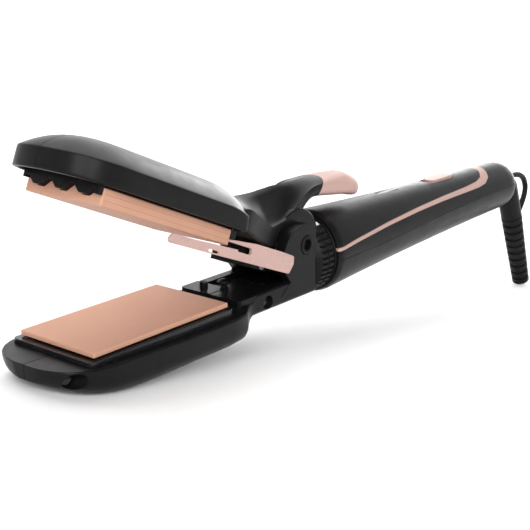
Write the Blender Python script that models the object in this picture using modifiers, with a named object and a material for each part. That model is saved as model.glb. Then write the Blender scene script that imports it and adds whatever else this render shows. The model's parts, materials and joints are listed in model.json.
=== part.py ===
"""Hair crimper: a handle with a lock ring, two hinged arms with crimping plates, and a swivel cord relief.

Everything is drawn in the tool's own frame, in millimetres, with the jaws shut:
X runs from the nose to the cord end, Y across the tool and Z up; the origin is the middle of the
front edge of the lower cover plate's top face. The jaw_hinge empty then opens the upper arm, and the
stance empty sets the whole tool down on its nose and its cord relief, with the floor at Z = 0.
"""
import bpy
import bmesh
from math import atan2, cos, pi, radians, sin
from mathutils import Matrix, Vector

MM = 0.001
GAP = 0.3

# Plates, shared by both arms.
PLATE_LENGTH = 72.8
PLATE_HALF = 20.0
RIDGE_PITCH = 12.0
RIDGE_TIP_HALF = 1.7
RIDGE_VALLEY_HALF = 0.9

# Lower arm.
ARM_NOSE_X = -15.6
ARM_HALF = 25.5
ARM_REAR_X = 76.0
NECK_X = 93.0
NECK_HALF = 16.8
NECK_FLOOR = -12.5
DECK_X = 84.0
DECK_TOP = -3.4
RIM_FRONT = -4.2
RIM_REAR = -6.0
PADDLE_FLOOR = -18.8
WALL = 2.2
BED_HALF = 21.6
BED_FRONT_X = -3.0
BED_REAR_X = 75.0
COVER_THICK = 2.0

# Hinge.
PIN = Vector((130.0, 0.0, 11.3))
PIN_RADIUS = 2.6
KNUCKLE_RADIUS = 15.5
KNUCKLE_HALF = 11.8
EAR_INNER = 12.2
EAR_OUTER = 17.0
EAR_CENTRE = (127.5, 7.0)
EAR_RADIUS = 14.2
YOKE_REAR_X = 136.4
OPEN_ANGLE = radians(23.2)

# Upper arm, jaws shut.
UPPER_HALF = 24.8
UPPER_LIP = 7.4
UPPER_EDGE = 15.2
UPPER_CREST = 25.2
UPPER_REAR_X = 79.0
BLOCK_BOTTOM = 0.3
BLOCK_TOP = 6.9
CRIMP_HALF = 17.6
RIDGE_TIP_Z = 3.4
RIDGE_VALLEY_Z = 6.2

# Handle, lock ring and cord relief.
RING_FRONT_X = 139.6
RING_REAR_X = 151.8
RING_RADIUS = 18.0
RING_RIBS = 36
HANDLE_X = 152.2
HANDLE_END_X = 352.0
HANDLE_AXIS_Z = 0.5
SHELL = 2.4
TRIM_DEPTH = 1.1
SWITCH_X = (261.0, 284.0)
WINDOW_X = (211.0, 231.0)
RELIEF_TOP = Vector((365.8, 0.0, -22.6))
RELIEF_END = Vector((386.0, 0.0, -70.4))
RELIEF_RADIUS = (6.4, 5.3)
RELIEF_RIBS = 10
EYE_WIRE_RADIUS = 1.75

# Finishes: base colour, roughness, metallic.
FINISH = {
    "satin_black": ((0.030, 0.030, 0.032), 0.38, 0.0),
    "gloss_black": ((0.010, 0.010, 0.011), 0.12, 0.0),
    "plain_black": ((0.020, 0.020, 0.021), 0.55, 0.0),
    "copper": ((0.80, 0.50, 0.36), 0.38, 0.75),
    "rose_gold": ((0.82, 0.60, 0.56), 0.34, 0.70),
    "steel": ((0.55, 0.55, 0.56), 0.35, 1.0),
    "ceramic": ((0.85, 0.84, 0.80), 0.60, 0.0),
    "board": ((0.02, 0.16, 0.07), 0.50, 0.0),
    "white_mark": ((0.85, 0.85, 0.85), 0.50, 0.0),
    "smoke": ((0.35, 0.35, 0.36), 0.15, 0.0),
    "rubber": ((0.022, 0.022, 0.023), 0.65, 0.0),
}


# ---------------------------------------------------------------- building helpers

def clear_scene():
    for thing in list(bpy.data.objects):
        bpy.data.objects.remove(thing, do_unlink=True)


def finish(name):
    """The Principled material of one finish, made the first time it is asked for."""
    material = bpy.data.materials.get(name)
    if material is None:
        colour, roughness, metallic = FINISH[name]
        material = bpy.data.materials.new(name)
        material.use_nodes = True
        shader = material.node_tree.nodes["Principled BSDF"]
        shader.inputs["Base Color"].default_value = (*colour, 1.0)
        shader.inputs["Roughness"].default_value = roughness
        shader.inputs["Metallic"].default_value = metallic
        material.diffuse_color = (*colour, 1.0)
    return material


def add_object(name, data, matrix=None):
    thing = bpy.data.objects.new(name, data)
    bpy.context.scene.collection.objects.link(thing)
    if matrix is not None:
        thing.matrix_world = matrix
    return thing


def flatten(thing):
    """Turn an object's curve or modifiers into one plain mesh in the tool's frame."""
    bpy.context.view_layer.update()
    graph = bpy.context.evaluated_depsgraph_get()
    evaluated = thing.evaluated_get(graph)
    mesh = bpy.data.meshes.new_from_object(evaluated)
    mesh.transform(thing.matrix_world)
    shape = bmesh.new()
    shape.from_mesh(mesh)
    bmesh.ops.remove_doubles(shape, verts=shape.verts, dist=0.000002)
    bmesh.ops.recalc_face_normals(shape, faces=shape.faces)
    shape.to_mesh(mesh)
    shape.free()
    name = thing.name
    bpy.data.objects.remove(thing, do_unlink=True)
    return add_object(name, mesh)


def prism(name, outlines, low, high, plane="XY"):
    """A flat outline, with any holes, between two levels of the axis across its plane."""
    curve = bpy.data.curves.new(name, "CURVE")
    curve.dimensions = "2D"
    curve.fill_mode = "BOTH"
    curve.extrude = (high - low) / 2 * MM
    if isinstance(outlines[0][0], (int, float)):
        outlines = [outlines]
    for outline in outlines:
        spline = curve.splines.new("POLY")
        spline.points.add(len(outline) - 1)
        for point, (u, v) in zip(spline.points, outline):
            point.co = (u * MM, v * MM, 0.0, 1.0)
        spline.use_cyclic_u = True
    middle = (low + high) / 2 * MM
    turn = {
        "XY": Matrix.Translation((0, 0, middle)),
        "XZ": Matrix.Translation((0, middle, 0)) @ Matrix.Rotation(pi / 2, 4, "X"),
        "YZ": Matrix.Translation((middle, 0, 0)) @ Matrix.Rotation(pi / 2, 4, "Z")
        @ Matrix.Rotation(pi / 2, 4, "X"),
    }[plane]
    return flatten(add_object(name, curve, turn))


def box(name, low, high):
    """A box between two corners."""
    shape = bmesh.new()
    size = [(b - a) * MM for a, b in zip(low, high)]
    centre = [(a + b) / 2 * MM for a, b in zip(low, high)]
    bmesh.ops.create_cube(shape, size=1.0)
    bmesh.ops.scale(shape, vec=size, verts=shape.verts)
    bmesh.ops.translate(shape, vec=centre, verts=shape.verts)
    mesh = bpy.data.meshes.new(name)
    shape.to_mesh(mesh)
    shape.free()
    return add_object(name, mesh)


def turned(name, profile, centre=(0, 0, 0), axis="X", steps=32):
    """A profile of (along, radius) points turned round an axis; a closed profile makes a ring.

    The points run down the outer side, from the far end of the axis to the near end.
    """
    mesh = bpy.data.meshes.new(name)
    points = [(radius * MM, 0.0, along * MM) for along, radius in profile]
    edges = [(i, i + 1) for i in range(len(points) - 1)]
    if profile[0][1] > 0:
        edges.append((len(points) - 1, 0))
    mesh.from_pydata(points, edges, [])
    turn = {
        "X": Matrix.Rotation(pi / 2, 4, "Y"),
        "Y": Matrix.Rotation(-pi / 2, 4, "X"),
        "Z": Matrix.Identity(4),
    }[axis]
    thing = add_object(name, mesh, Matrix.Translation(Vector(centre) * MM) @ turn)
    screw = thing.modifiers.new("turn", "SCREW")
    screw.angle = 2 * pi
    screw.steps = screw.render_steps = steps
    screw.use_merge_vertices = True
    screw.merge_threshold = 0.00001
    return flatten(thing)


def rod(name, start, end, radius, steps=24):
    """A plain round rod between two points."""
    start, end = Vector(start) * MM, Vector(end) * MM
    shape = bmesh.new()
    bmesh.ops.create_cone(shape, cap_ends=True, segments=steps, radius1=radius * MM,
                          radius2=radius * MM, depth=(end - start).length)
    turn = (end - start).to_track_quat("Z", "Y").to_matrix().to_4x4()
    shape.transform(Matrix.Translation((start + end) / 2) @ turn)
    mesh = bpy.data.meshes.new(name)
    shape.to_mesh(mesh)
    shape.free()
    return add_object(name, mesh)


def tube(name, points, radius, smooth=True, resolution=3):
    """A round bar along a list of points, with closed ends."""
    curve = bpy.data.curves.new(name, "CURVE")
    curve.dimensions = "3D"
    curve.bevel_depth = radius * MM
    curve.bevel_resolution = resolution
    curve.use_fill_caps = True
    path = rounded_path(points) if smooth else points
    spline = curve.splines.new("POLY")
    spline.points.add(len(path) - 1)
    for point, place in zip(spline.points, path):
        point.co = (*(Vector(place) * MM), 1.0)
    return flatten(add_object(name, curve))


def rounded_path(points, per_span=5):
    """Points along a smooth curve through the given ones."""
    ends = [points[0], *points, points[-1]]
    path = []
    for a, b, c, d in zip(ends, ends[1:], ends[2:], ends[3:]):
        a, b, c, d = Vector(a), Vector(b), Vector(c), Vector(d)
        for i in range(per_span):
            t = i / per_span
            path.append(0.5 * (2 * b + (c - a) * t + (2 * a - 5 * b + 4 * c - d) * t ** 2
                               + (3 * b - a - 3 * c + d) * t ** 3))
    path.append(Vector(points[-1]))
    return path


def loft(name, sections):
    """A closed skin over rings of points that all have the same count."""
    mesh = bpy.data.meshes.new(name)
    count = len(sections[0])
    points = [tuple(value * MM for value in point) for ring in sections for point in ring]
    faces = []
    for row in range(len(sections) - 1):
        for i in range(count):
            j = (i + 1) % count
            faces.append((row * count + i, row * count + j,
                          (row + 1) * count + j, (row + 1) * count + i))
    faces.append(tuple(range(count)))
    faces.append(tuple((len(sections) - 1) * count + i for i in range(count)))
    mesh.from_pydata(points, [], faces)
    return flatten(add_object(name, mesh))


def combine(target, tools, operation):
    """Join to, cut from or keep of a solid; the tools are used up."""
    for tool in tools if isinstance(tools, (list, tuple)) else [tools]:
        tool.hide_render = True
        tool.display_type = "WIRE"
        step = target.modifiers.new(operation.lower(), "BOOLEAN")
        step.operation = operation
        step.solver = "EXACT"
        step.object = tool
        target = flatten(target)
        bpy.data.objects.remove(tool, do_unlink=True)
    return target


def join(target, *tools):
    return combine(target, tools, "UNION")


def cut(target, *tools):
    return combine(target, tools, "DIFFERENCE")


def keep(target, tool):
    return combine(target, tool, "INTERSECT")


def copy_of(name, thing, mirror=False):
    """A copy of a solid, mirrored across the tool's middle plane on request."""
    mesh = thing.data.copy()
    if mirror:
        mesh.transform(Matrix.Scale(-1, 4, (0, 1, 0)))
        mesh.flip_normals()
    return add_object(name, mesh)


def round_edges(thing, width, segments=2, angle=40):
    """Round every edge sharper than the angle."""
    bevel = thing.modifiers.new("round", "BEVEL")
    bevel.width = width * MM
    bevel.segments = segments
    bevel.limit_method = "ANGLE"
    bevel.angle_limit = radians(angle)
    return flatten(thing)


def arc(centre, radius, start, end, count):
    """Points on an arc, by degrees."""
    step = (end - start) / (count - 1)
    return [(centre[0] + radius * cos(radians(start + step * i)),
             centre[1] + radius * sin(radians(start + step * i))) for i in range(count)]


def rounded_box(low, high, radius, count=4):
    """The outline of a rectangle with round corners."""
    (a, b), (c, d) = low, high
    r = radius
    return (arc((c - r, d - r), r, 0, 90, count) + arc((a + r, d - r), r, 90, 180, count)
            + arc((a + r, b + r), r, 180, 270, count) + arc((c - r, b + r), r, 270, 360, count))


def blend(x, x0, x1):
    """A smooth step from 0 at x0 to 1 at x1."""
    t = min(1.0, max(0.0, (x - x0) / (x1 - x0)))
    return t * t * (3 - 2 * t)


# ---------------------------------------------------------------- shapes shared by the two arms

def nose_half_width(x, half, reach=29.6):
    """Half width of an arm in plan: a blunt round nose, then parallel sides."""
    t = min(1.0, max(0.0, (ARM_NOSE_X + reach - x) / reach))
    return half * max(0.0, 1 - t ** 3.2) ** 0.417


def arm_stations(last, spacing=9.0):
    """Places along an arm for its sections: close together at the nose."""
    nose = [ARM_NOSE_X + step for step in (0.3, 1.2, 2.8, 5.2, 8.5, 12.8, 18.0, 24.0, 30.0)]
    count = int((last - nose[-1]) / spacing)
    return nose + [nose[-1] + (last - nose[-1]) * (i + 1) / count for i in range(count)]


def ridges(x0, x1, base, tip, valley, name, half, left_edge=(), right_edge=()):
    """A crimping plate: three ridges along the plate, standing from a flat base to their tips."""
    outline = [(half, base), (-half, base)] + (list(left_edge) or [(-half, valley)])
    for i in (-1, 0, 1):
        centre = i * RIDGE_PITCH
        edge = RIDGE_PITCH / 2 - RIDGE_VALLEY_HALF
        outline += [(centre - edge, valley), (centre - RIDGE_TIP_HALF, tip),
                    (centre + RIDGE_TIP_HALF, tip), (centre + edge, valley)]
    outline += list(right_edge) or [(half, valley)]
    return loft(name, [[(x, y, z) for y, z in outline] for x in (x0, x1)])


def screw(name, head, tip, head_radius=2.4, shank_radius=1.0, head_depth=1.6):
    """A pan-head screw from the middle of its head's outer face to its tip, with a slot in the head."""
    head, tip = Vector(head), Vector(tip)
    along = (tip - head).normalized()
    body = rod(name, head, head + along * head_depth, head_radius, 16)
    shank = rod(name + "_shank", head + along * (head_depth - 0.4), tip, shank_radius, 12)
    body = join(body, shank)
    across = Vector((1, 0, 0)) if abs(along.x) < 0.5 else Vector((0, 1, 0))
    reach = across * head_radius * 1.2
    side = along.cross(across) * 0.35
    depth = along * 0.7
    low = [min(v) for v in zip(head - reach - side - depth, head + reach + side + depth)]
    high = [max(v) for v in zip(head - reach - side - depth, head + reach + side + depth)]
    return cut(body, box("driver_slot", low, high))


def ring_section(x, half, low, high, y_start, squareness=2.6, count=9):
    """A half ring on the left of the middle plane: a rounded oval between two heights."""
    middle, rise = (low + high) / 2, (high - low) / 2
    ring = [(x, y_start, low)]
    for i in range(count):
        angle = -pi / 2 + pi * (i + 0.5) / count
        reach = abs(cos(angle)) ** (2 / squareness)
        lift = abs(sin(angle)) ** (2 / squareness) * (1 if angle > 0 else -1)
        ring.append((x, -half * reach, middle + rise * lift))
    ring.append((x, y_start, high))
    return ring


def full_section(x, half, low, high, squareness=2.6, count=9):
    """A whole rounded oval across the tool between two heights."""
    left = ring_section(x, half, low, high, 0.0, squareness, count)
    right = [(a, -b, c) for a, b, c in left[1:-1]][::-1]
    return left + right


# ---------------------------------------------------------------- lower arm

NOSE_SCREW = (-8.2, -8.2)
NECK_SCREW = (102.9, -8.4)
STUD_X = 93.5
POST = (86.3, 5.2)


def rim_height(x):
    return RIM_FRONT + (RIM_REAR - RIM_FRONT) * blend(x, ARM_NOSE_X, 60.0)


def lower_half_width(x):
    shoulder = blend(x, ARM_REAR_X, NECK_X)
    return nose_half_width(x, ARM_HALF) * (1 - shoulder) + NECK_HALF * shoulder


def lower_floor(x):
    nose = min(1.0, max(0.0, (26.0 - x) / 42.0))
    paddle = PADDLE_FLOOR + 9.0 * nose ** 2.2
    return paddle + (NECK_FLOOR - paddle) * blend(x, 82.0, 94.0)


def lower_section(x, inset=0.0, y_start=-GAP / 2, top=None):
    """One ring of the left half of the lower arm, from the middle plane round and back."""
    half = lower_half_width(x) - inset
    floor = lower_floor(x) + inset
    rim = rim_height(x) + (DECK_TOP - rim_height(x)) * blend(x, 92.0, 95.0)
    if top is not None:
        rim = top
    corner = 7.5 - 5.0 * blend(x, 80.0, 92.0)
    turn_y = min(corner, half * 0.55) - min(inset, 1.5)
    turn_z = min(min(corner, -4.0 - lower_floor(x)) * 0.9 - min(inset, 1.5), rim - 0.9 - floor)
    ring = [(x, y_start, rim), (x, -half + 0.6, rim), (x, -half, rim - 0.6)]
    for i in range(6):
        angle = pi / 2 * i / 5
        ring.append((x, -half + turn_y * (1 - cos(angle)), floor + turn_z * (1 - sin(angle))))
    ring.append((x, y_start, floor))
    return ring


def ear_outline():
    """Side view of one ear of the yoke, standing on the neck."""
    top = arc(EAR_CENTRE, EAR_RADIUS, 53, 200, 14)
    shoulder = EAR_CENTRE[1] + EAR_RADIUS * 0.60
    rear = YOKE_REAR_X + 0.1
    return ([(rear, NECK_FLOOR + 2.8), (rear, shoulder)] + top
            + [(117.0, -1.2), (118.6, DECK_TOP + 0.2), (112.0, NECK_FLOOR + 4.0),
               (114.0, NECK_FLOOR + 2.8)])


def lower_arm():
    """The two halves of the lower arm: paddle, neck and one yoke ear each."""
    stations = arm_stations(80.0) + [84.0, 87.0, 90.0, 93.0, 96.0, YOKE_REAR_X]
    left = loft("lower_arm_left_shell", [lower_section(x) for x in stations])
    deck = prism("deck", [(DECK_X, -0.4), (DECK_X, -NECK_HALF + 1.1), (DECK_X + 1.0, -NECK_HALF + 0.1),
                          (95.2, -NECK_HALF + 0.1), (95.2, -0.4)], -9.0, DECK_TOP + 0.03)
    ear = prism("ear", ear_outline(), -EAR_OUTER, -EAR_INNER, "XZ")
    hollow_at = [x for x in arm_stations(72.0) if x > -11.0]
    hollow = loft("hollow", [lower_section(x, WALL, 3.0, -7.7) for x in hollow_at])
    tray = prism("tray", rounded_box((BED_FRONT_X - GAP, -BED_HALF - GAP),
                                     (BED_REAR_X + GAP, BED_HALF + GAP), 2.5), -8.6, 6.0)
    slot = box("slot", (112.6, -EAR_INNER, -5.2), (140.0, 3.0, 40.0))
    pocket = box("pocket", (95.7, -EAR_INNER + 0.1, -5.6), (113.5, 2.9, 3.1))
    pin_hole = rod("pin_hole", (PIN.x, -30, PIN.z), (PIN.x, 5, PIN.z), PIN_RADIUS + GAP)
    cap_seat = rod("cap_seat", (PIN.x, -30, PIN.z), (PIN.x, -15.3, PIN.z), 4.6)
    left = join(left, ear, deck)
    left = cut(left, hollow, tray, slot, pocket, pin_hole, cap_seat)
    post = rod("post", (NOSE_SCREW[0], -21.0, NOSE_SCREW[1]), (NOSE_SCREW[0], -0.5, NOSE_SCREW[1]), 3.9)
    within = loft("within", [lower_section(x, 0.6, 2.0) for x in stations[1:9]])
    left = join(left, keep(post, within))
    right = copy_of("lower_arm_right_shell", left, mirror=True)
    for (x, z), reach in ((NOSE_SCREW, 3.3), (NECK_SCREW, 3.1)):
        well = rod("well", (x, -30, z), (x, -12.4, z), reach)
        pilot = rod("pilot", (x, -14, z), (x, 2, z), 1.3, 12)
        left = cut(left, well, pilot)
        right = cut(right, rod("pilot", (x, -2, z), (x, 9.0, z), 1.3, 12))
    screws = [screw(name, (x, -14.2, z), (x, 8.0, z))
              for name, (x, z) in (("nose_screw", NOSE_SCREW), ("neck_screw", NECK_SCREW))]
    give([left, right], "satin_black")
    give(screws, "steel")
    return [left, right] + screws


def lower_plates():
    """Bed, heater, crimping plate and flat cover of the lower arm."""
    bed = prism("lower_bed", rounded_box((BED_FRONT_X, -BED_HALF), (BED_REAR_X, BED_HALF), 2.2),
                -8.3, -2.5)
    bed = round_edges(bed, 1.0, 3, 60)
    bed = cut(bed, box("plate_well", (0.6, -18.6, -7.0), (72.2, 18.6, 0.0)))
    ridge = ridges(1.0, 71.8, -5.4, -2.4, -4.2, "lower_crimp_plate", 18.2)
    heater = box("lower_heater", (5.0, -8.0, -6.7), (68.0, 8.0, -5.7))
    cover = round_edges(box("lower_cover_plate", (0.0, -PLATE_HALF, -COVER_THICK),
                            (PLATE_LENGTH, PLATE_HALF, 0.0)), 0.35, 2)
    give([bed], "gloss_black")
    give([ridge], "plain_black")
    give([heater], "ceramic")
    give([cover], "copper")
    return [bed, ridge, heater, cover]


def deck_pieces():
    """The mushroom stud and the short notched post that stand on the deck."""
    foot = DECK_TOP + GAP
    stud = turned("deck_stud", [(1.1, 0.0), (1.0, 1.6), (0.5, 2.7), (-0.1, 3.0), (-0.5, 2.6), (-0.7, 1.3),
                                (foot + 0.7, 1.3), (foot + 0.4, 1.9), (foot, 1.9), (foot, 0.0)],
                  (STUD_X, 0, 0), "Z", 24)
    post = rod("deck_post", (*POST, foot), (*POST, 0.7), 1.8, 20)
    post = round_edges(post, 0.35, 2, 60)
    post = cut(post, box("notch", (POST[0] - 3, POST[1] - 0.5, -0.6), (POST[0] + 3, POST[1] + 0.5, 2.0)))
    give([stud, post], "plain_black")
    return [stud, post]


def hinge_pieces():
    """Pin, end caps and the torsion spring that shuts the jaws."""
    pin = round_edges(rod("hinge_pin", (PIN.x, -14.9, PIN.z), (PIN.x, 14.9, PIN.z), PIN_RADIUS), 0.4, 1, 60)
    caps = []
    for name, side in (("hinge_cap_left", -1), ("hinge_cap_right", 1)):
        cap = rod(name, (PIN.x, side * 15.6, PIN.z), (PIN.x, side * 17.4, PIN.z), 4.3, 32)
        cap = round_edges(cap, 0.4, 2, 60)
        cap = cut(cap, rod("cap_hole", (PIN.x, side * 15.0, PIN.z), (PIN.x, side * 20, PIN.z), 2.7, 24))
        caps.append(cap)
    turns, radius, width, wire = 5, 5.6, 8.0, 0.6
    coil = []
    for i in range(turns * 14 + 1):
        angle = 2 * pi * i / 14
        coil.append((PIN.x + radius * sin(angle), -width / 2 + width * i / (turns * 14),
                     PIN.z - radius * cos(angle)))
    first, last = coil[0], coil[-1]
    path = ([(first[0] - 11.0, first[1], first[2] - 2.6), (first[0] - 5.0, first[1], first[2] - 1.0)]
            + coil + [(last[0] - 3.0, last[1], last[2])])
    spring = tube("torsion_spring", path, wire, smooth=False, resolution=2)
    give([pin, spring], "steel")
    give(caps, "plain_black")
    return [pin, *caps, spring]


# ---------------------------------------------------------------- upper arm, drawn with the jaws shut

# Saddle and thumb lever: (x, half width, underside, top).
LEVER = ((76.0, 23.6, 8.2, 23.6), (82.0, 22.8, 7.0, 22.6), (88.0, 21.0, 6.2, 22.2),
         (94.0, 18.6, 5.6, 22.8), (100.0, 16.4, 5.4, 25.0), (106.0, 14.6, 5.8, 28.0),
         (110.0, 13.6, 8.0, 30.0), (114.0, 12.9, 22.4, 32.2), (122.0, 12.2, 22.6, 36.3),
         (130.0, 11.6, 23.0, 39.8), (135.4, 11.2, 24.4, 42.0), (139.0, 10.9, 30.4, 43.2),
         (143.0, 10.6, 34.0, 44.6), (148.0, 10.2, 36.6, 46.2))
LEVER_STUB = ((146.5, 7.4, 38.4, 44.2), (152.0, 7.2, 40.6, 45.4), (158.0, 6.6, 42.4, 46.6))
LEVER_TIP = ((148.3, 10.2, 36.7, 46.3), (155.0, 9.9, 38.9, 48.4), (162.0, 9.6, 40.8, 50.0),
             (169.0, 9.3, 42.4, 50.8), (175.0, 8.6, 43.8, 50.6), (179.0, 7.4, 44.8, 49.9),
             (181.6, 5.6, 45.6, 49.0), (183.0, 3.0, 46.4, 48.2))


def crest_rise(x):
    nose = min(1.0, max(0.0, (30.0 - x) / 45.7))
    return (UPPER_CREST - UPPER_EDGE) * (1 - nose ** 3) ** 0.6


def upper_section(x, inset=0.0, y_start=-GAP / 2, low=None):
    """One ring of the left half of the upper arm: flat lip, upright side wall and domed back."""
    half = nose_half_width(x, UPPER_HALF) - inset
    lip = UPPER_LIP if low is None else low
    edge = UPPER_EDGE - inset * 0.6
    rise = max(0.3, crest_rise(x) - inset * 0.4)
    ring = [(x, y_start, lip), (x, -half + 0.6, lip), (x, -half, lip + 0.6), (x, -half, edge)]
    for i in range(1, 7):
        angle = pi / 2 * i / 7
        ring.append((x, -half * cos(angle) ** 0.9, edge + rise * sin(angle) ** 1.1))
    ring.append((x, y_start, edge + rise))
    return ring


def upper_arm():
    """The two halves of the upper arm, each with its half of the saddle, lever stub and knuckle."""
    stations = arm_stations(UPPER_REAR_X - 4.0) + [UPPER_REAR_X]
    left = loft("upper_arm_left_shell", [upper_section(x) for x in stations])
    saddle = loft("saddle", [ring_section(*place, -GAP / 2, 3.2) for place in LEVER])
    stub = loft("stub", [ring_section(*place, -GAP / 2, 3.2) for place in LEVER_STUB])
    knuckle = rod("knuckle", (PIN.x, -KNUCKLE_HALF, PIN.z), (PIN.x, -GAP / 2, PIN.z), KNUCKLE_RADIUS, 40)
    bridge = box("bridge", (104.0, -KNUCKLE_HALF, 8.0), (PIN.x, -GAP / 2, 25.0))
    bridge = cut(bridge, rod("bridge_hollow", (104.0, -20, 3.0), (104.0, 2, 3.0), 5.2))
    left = join(left, saddle, stub, knuckle, bridge)
    behind = prism("behind", [(135.2, -10.0), (160.0, -10.0), (160.0, 30.0), (139.0, 30.0), (135.6, 24.0),
                              (135.2, 21.8)], -30, 5, "XZ")
    spring_room = rod("spring_room", (PIN.x, -5.2, PIN.z), (PIN.x, 5.2, PIN.z), 11.8, 32)
    spring_door = box("spring_door", (PIN.x - 11.0, -5.2, -12.0), (PIN.x + 12.0, 5.2, PIN.z - 2.0))
    bore = rod("bore", (PIN.x, -20, PIN.z), (PIN.x, 5, PIN.z), PIN_RADIUS + GAP)
    hollow_at = [x for x in arm_stations(70.0) if x > -12.0] + [75.4]
    hollow = loft("hollow", [upper_section(x, WALL, 3.0, 4.0) for x in hollow_at])
    left = cut(left, behind, spring_room, spring_door, bore, hollow)
    right = copy_of("upper_arm_right_shell", left, mirror=True)
    tip = loft("lever_tip", [full_section(*place, 3.2, 9) for place in LEVER_TIP])
    socket = loft("socket", [full_section(x, half + 0.4, low - 0.4, top + 0.4, 3.2, 9)
                             for x, half, low, top in LEVER_STUB[:2] + ((158.5, 6.6, 42.5, 46.7),)])
    tip = cut(tip, socket)
    give([left, right], "satin_black")
    give([tip], "rose_gold")
    return [left, right, tip]


def upper_plates():
    """Carrier, heater, crimping plate and copper cover block of the upper arm."""
    carrier = prism("upper_carrier", rounded_box((-3.0, -21.6), (74.6, 21.6), 4.5), 8.9, 12.4)
    tab = [(73.2, 3.4), (76.8, 3.4), (76.8, 7.0), (75.0, 7.0), (75.0, 9.4), (73.2, 9.4)]
    carrier = join(carrier, prism("tab", tab, -19.6, -16.6, "XZ"), prism("tab", tab, 16.6, 19.6, "XZ"))
    carrier = cut(carrier, box("heater_seat", (3.0, -9.0, 7.0), (70.0, 9.0, 10.6)))
    heater = box("upper_heater", (5.0, -8.0, 8.9), (68.0, 8.0, 10.3))
    crimp = ridges(-2.6, 72.4, 8.6, RIDGE_TIP_Z, RIDGE_VALLEY_Z, "upper_crimp_plate", PLATE_HALF,
                   [(-PLATE_HALF, 4.0), (-18.0, 4.0), (-17.8, RIDGE_VALLEY_Z)],
                   [(18.2, RIDGE_VALLEY_Z), (18.2, 5.1), (PLATE_HALF, 5.1)])
    crimp = cut(crimp, box("side", (-0.4, -25.0, 3.0), (80.0, -CRIMP_HALF, 9.0)),
                box("side", (-0.4, CRIMP_HALF, 3.0), (80.0, 25.0, 9.0)))
    cover = box("upper_cover_plate", (0.0, -PLATE_HALF, BLOCK_BOTTOM),
                (PLATE_LENGTH, PLATE_HALF, BLOCK_TOP))
    cover = round_edges(cover, 0.35, 1)
    cover = cut(cover, ridges(-5.0, 80.0, 12.0, RIDGE_TIP_Z - GAP, RIDGE_VALLEY_Z - GAP, "grooves",
                              CRIMP_HALF + GAP))
    give([carrier], "plain_black")
    give([crimp], "satin_black")
    give([heater], "ceramic")
    give([cover], "copper")
    return [carrier, heater, crimp, cover]


def bracket_pieces():
    """The slotted sheet bracket under the back of the upper arm, its block and its pin."""
    flange = [(73.4, 2.8), (80.0, 3.5), (92.0, 4.6), (112.0, 4.8), (120.4, 4.6), (121.2, 1.3),
              (119.6, -3.3), (112.0, -3.6), (75.6, -4.3), (75.6, -2.0), (73.4, -1.9)]
    slot = arc((89.2, 1.1), 1.35, -88, 92, 7) + [(75.2, 1.9), (75.2, -0.7)]
    bracket = prism("latch_bracket", flange, -18.9, -17.7, "XZ")
    bracket = cut(bracket, prism("slot", slot, -20.0, -16.0, "XZ"))
    finger = prism("finger", [(37.0, -3.6), (39.6, -2.6), (48.0, -2.8), (48.4, -2.2), (76.3, -1.0),
                              (76.3, -4.4), (38.2, -5.1), (37.0, -4.4)], -22.95, -21.95, "XZ")
    jog = box("jog", (75.8, -22.7, -4.1), (76.8, -18.2, -1.4))
    web = box("web", (92.0, -18.3, 3.3), (111.0, -8.0, 4.4))
    bracket = join(bracket, finger, jog, web)
    bracket = cut(bracket, box("lip_slot", (58.0, -24.0, -4.1), (65.5, -20.0, -3.2)))
    front = arc((108.0, 0.0), 10.0, 110, 250, 9)
    block = prism("bracket_block", front + [(112.2, -11.2), (112.2, 11.2)], -3.0, 3.2)
    block = join(block, box("block_foot", (101.6, -11.2, -5.0), (112.2, 11.2, 0.0)))
    block = round_edges(block, 0.5, 2, 60)
    pin = round_edges(rod("bracket_pin", (108.5, -12.0, -2.9), (108.5, -11.5, -2.9), 1.9, 20), 0.15, 1, 60)
    give([bracket], "rose_gold")
    give([block], "plain_black")
    give([pin], "steel")
    return [bracket, block, pin]


# ---------------------------------------------------------------- handle

def handle_radius(x):
    s = (x - HANDLE_X) / 188.0
    radius = 19.9 - 9.9 * s + 4.0 * s * s
    front = max(0.0, (156.0 - x) / 4.0)
    radius -= 1.2 * front ** 2
    end = max(0.0, (x - 336.0) / (HANDLE_END_X - 336.0))
    return radius * max(0.0, 1 - end ** 2) ** 0.5


def handle_skin(name, outer, inner, x0=HANDLE_X, x1=348.0, steps=48):
    """A turned wall between two offsets from the handle's outer surface."""
    places = [x0, x0 + 1.0, x0 + 2.2, x0 + 4.0]
    places += [x0 + 4.0 + (330.0 - x0) * i / 12 for i in range(1, 13)]
    places += [338.5, 341.5, 344.0, 346.2, x1]
    outside = [(x, handle_radius(x) + outer) for x in places if x <= x1]
    inside = [(x, handle_radius(x) + inner) for x in places if x <= x1]
    return turned(name, outside[::-1] + inside, (0, 0, HANDLE_AXIS_Z), "X", steps)


def seam_outline(offset, far):
    """Side view of everything above or below the shells' seam."""
    seam = [(140.0, -0.8), (195.0, -0.9), (256.0, 1.4), (299.0, 2.3), (360.0, 2.9)]
    return [(x, z + offset) for x, z in seam] + [(360.0, far), (140.0, far)]


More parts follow.
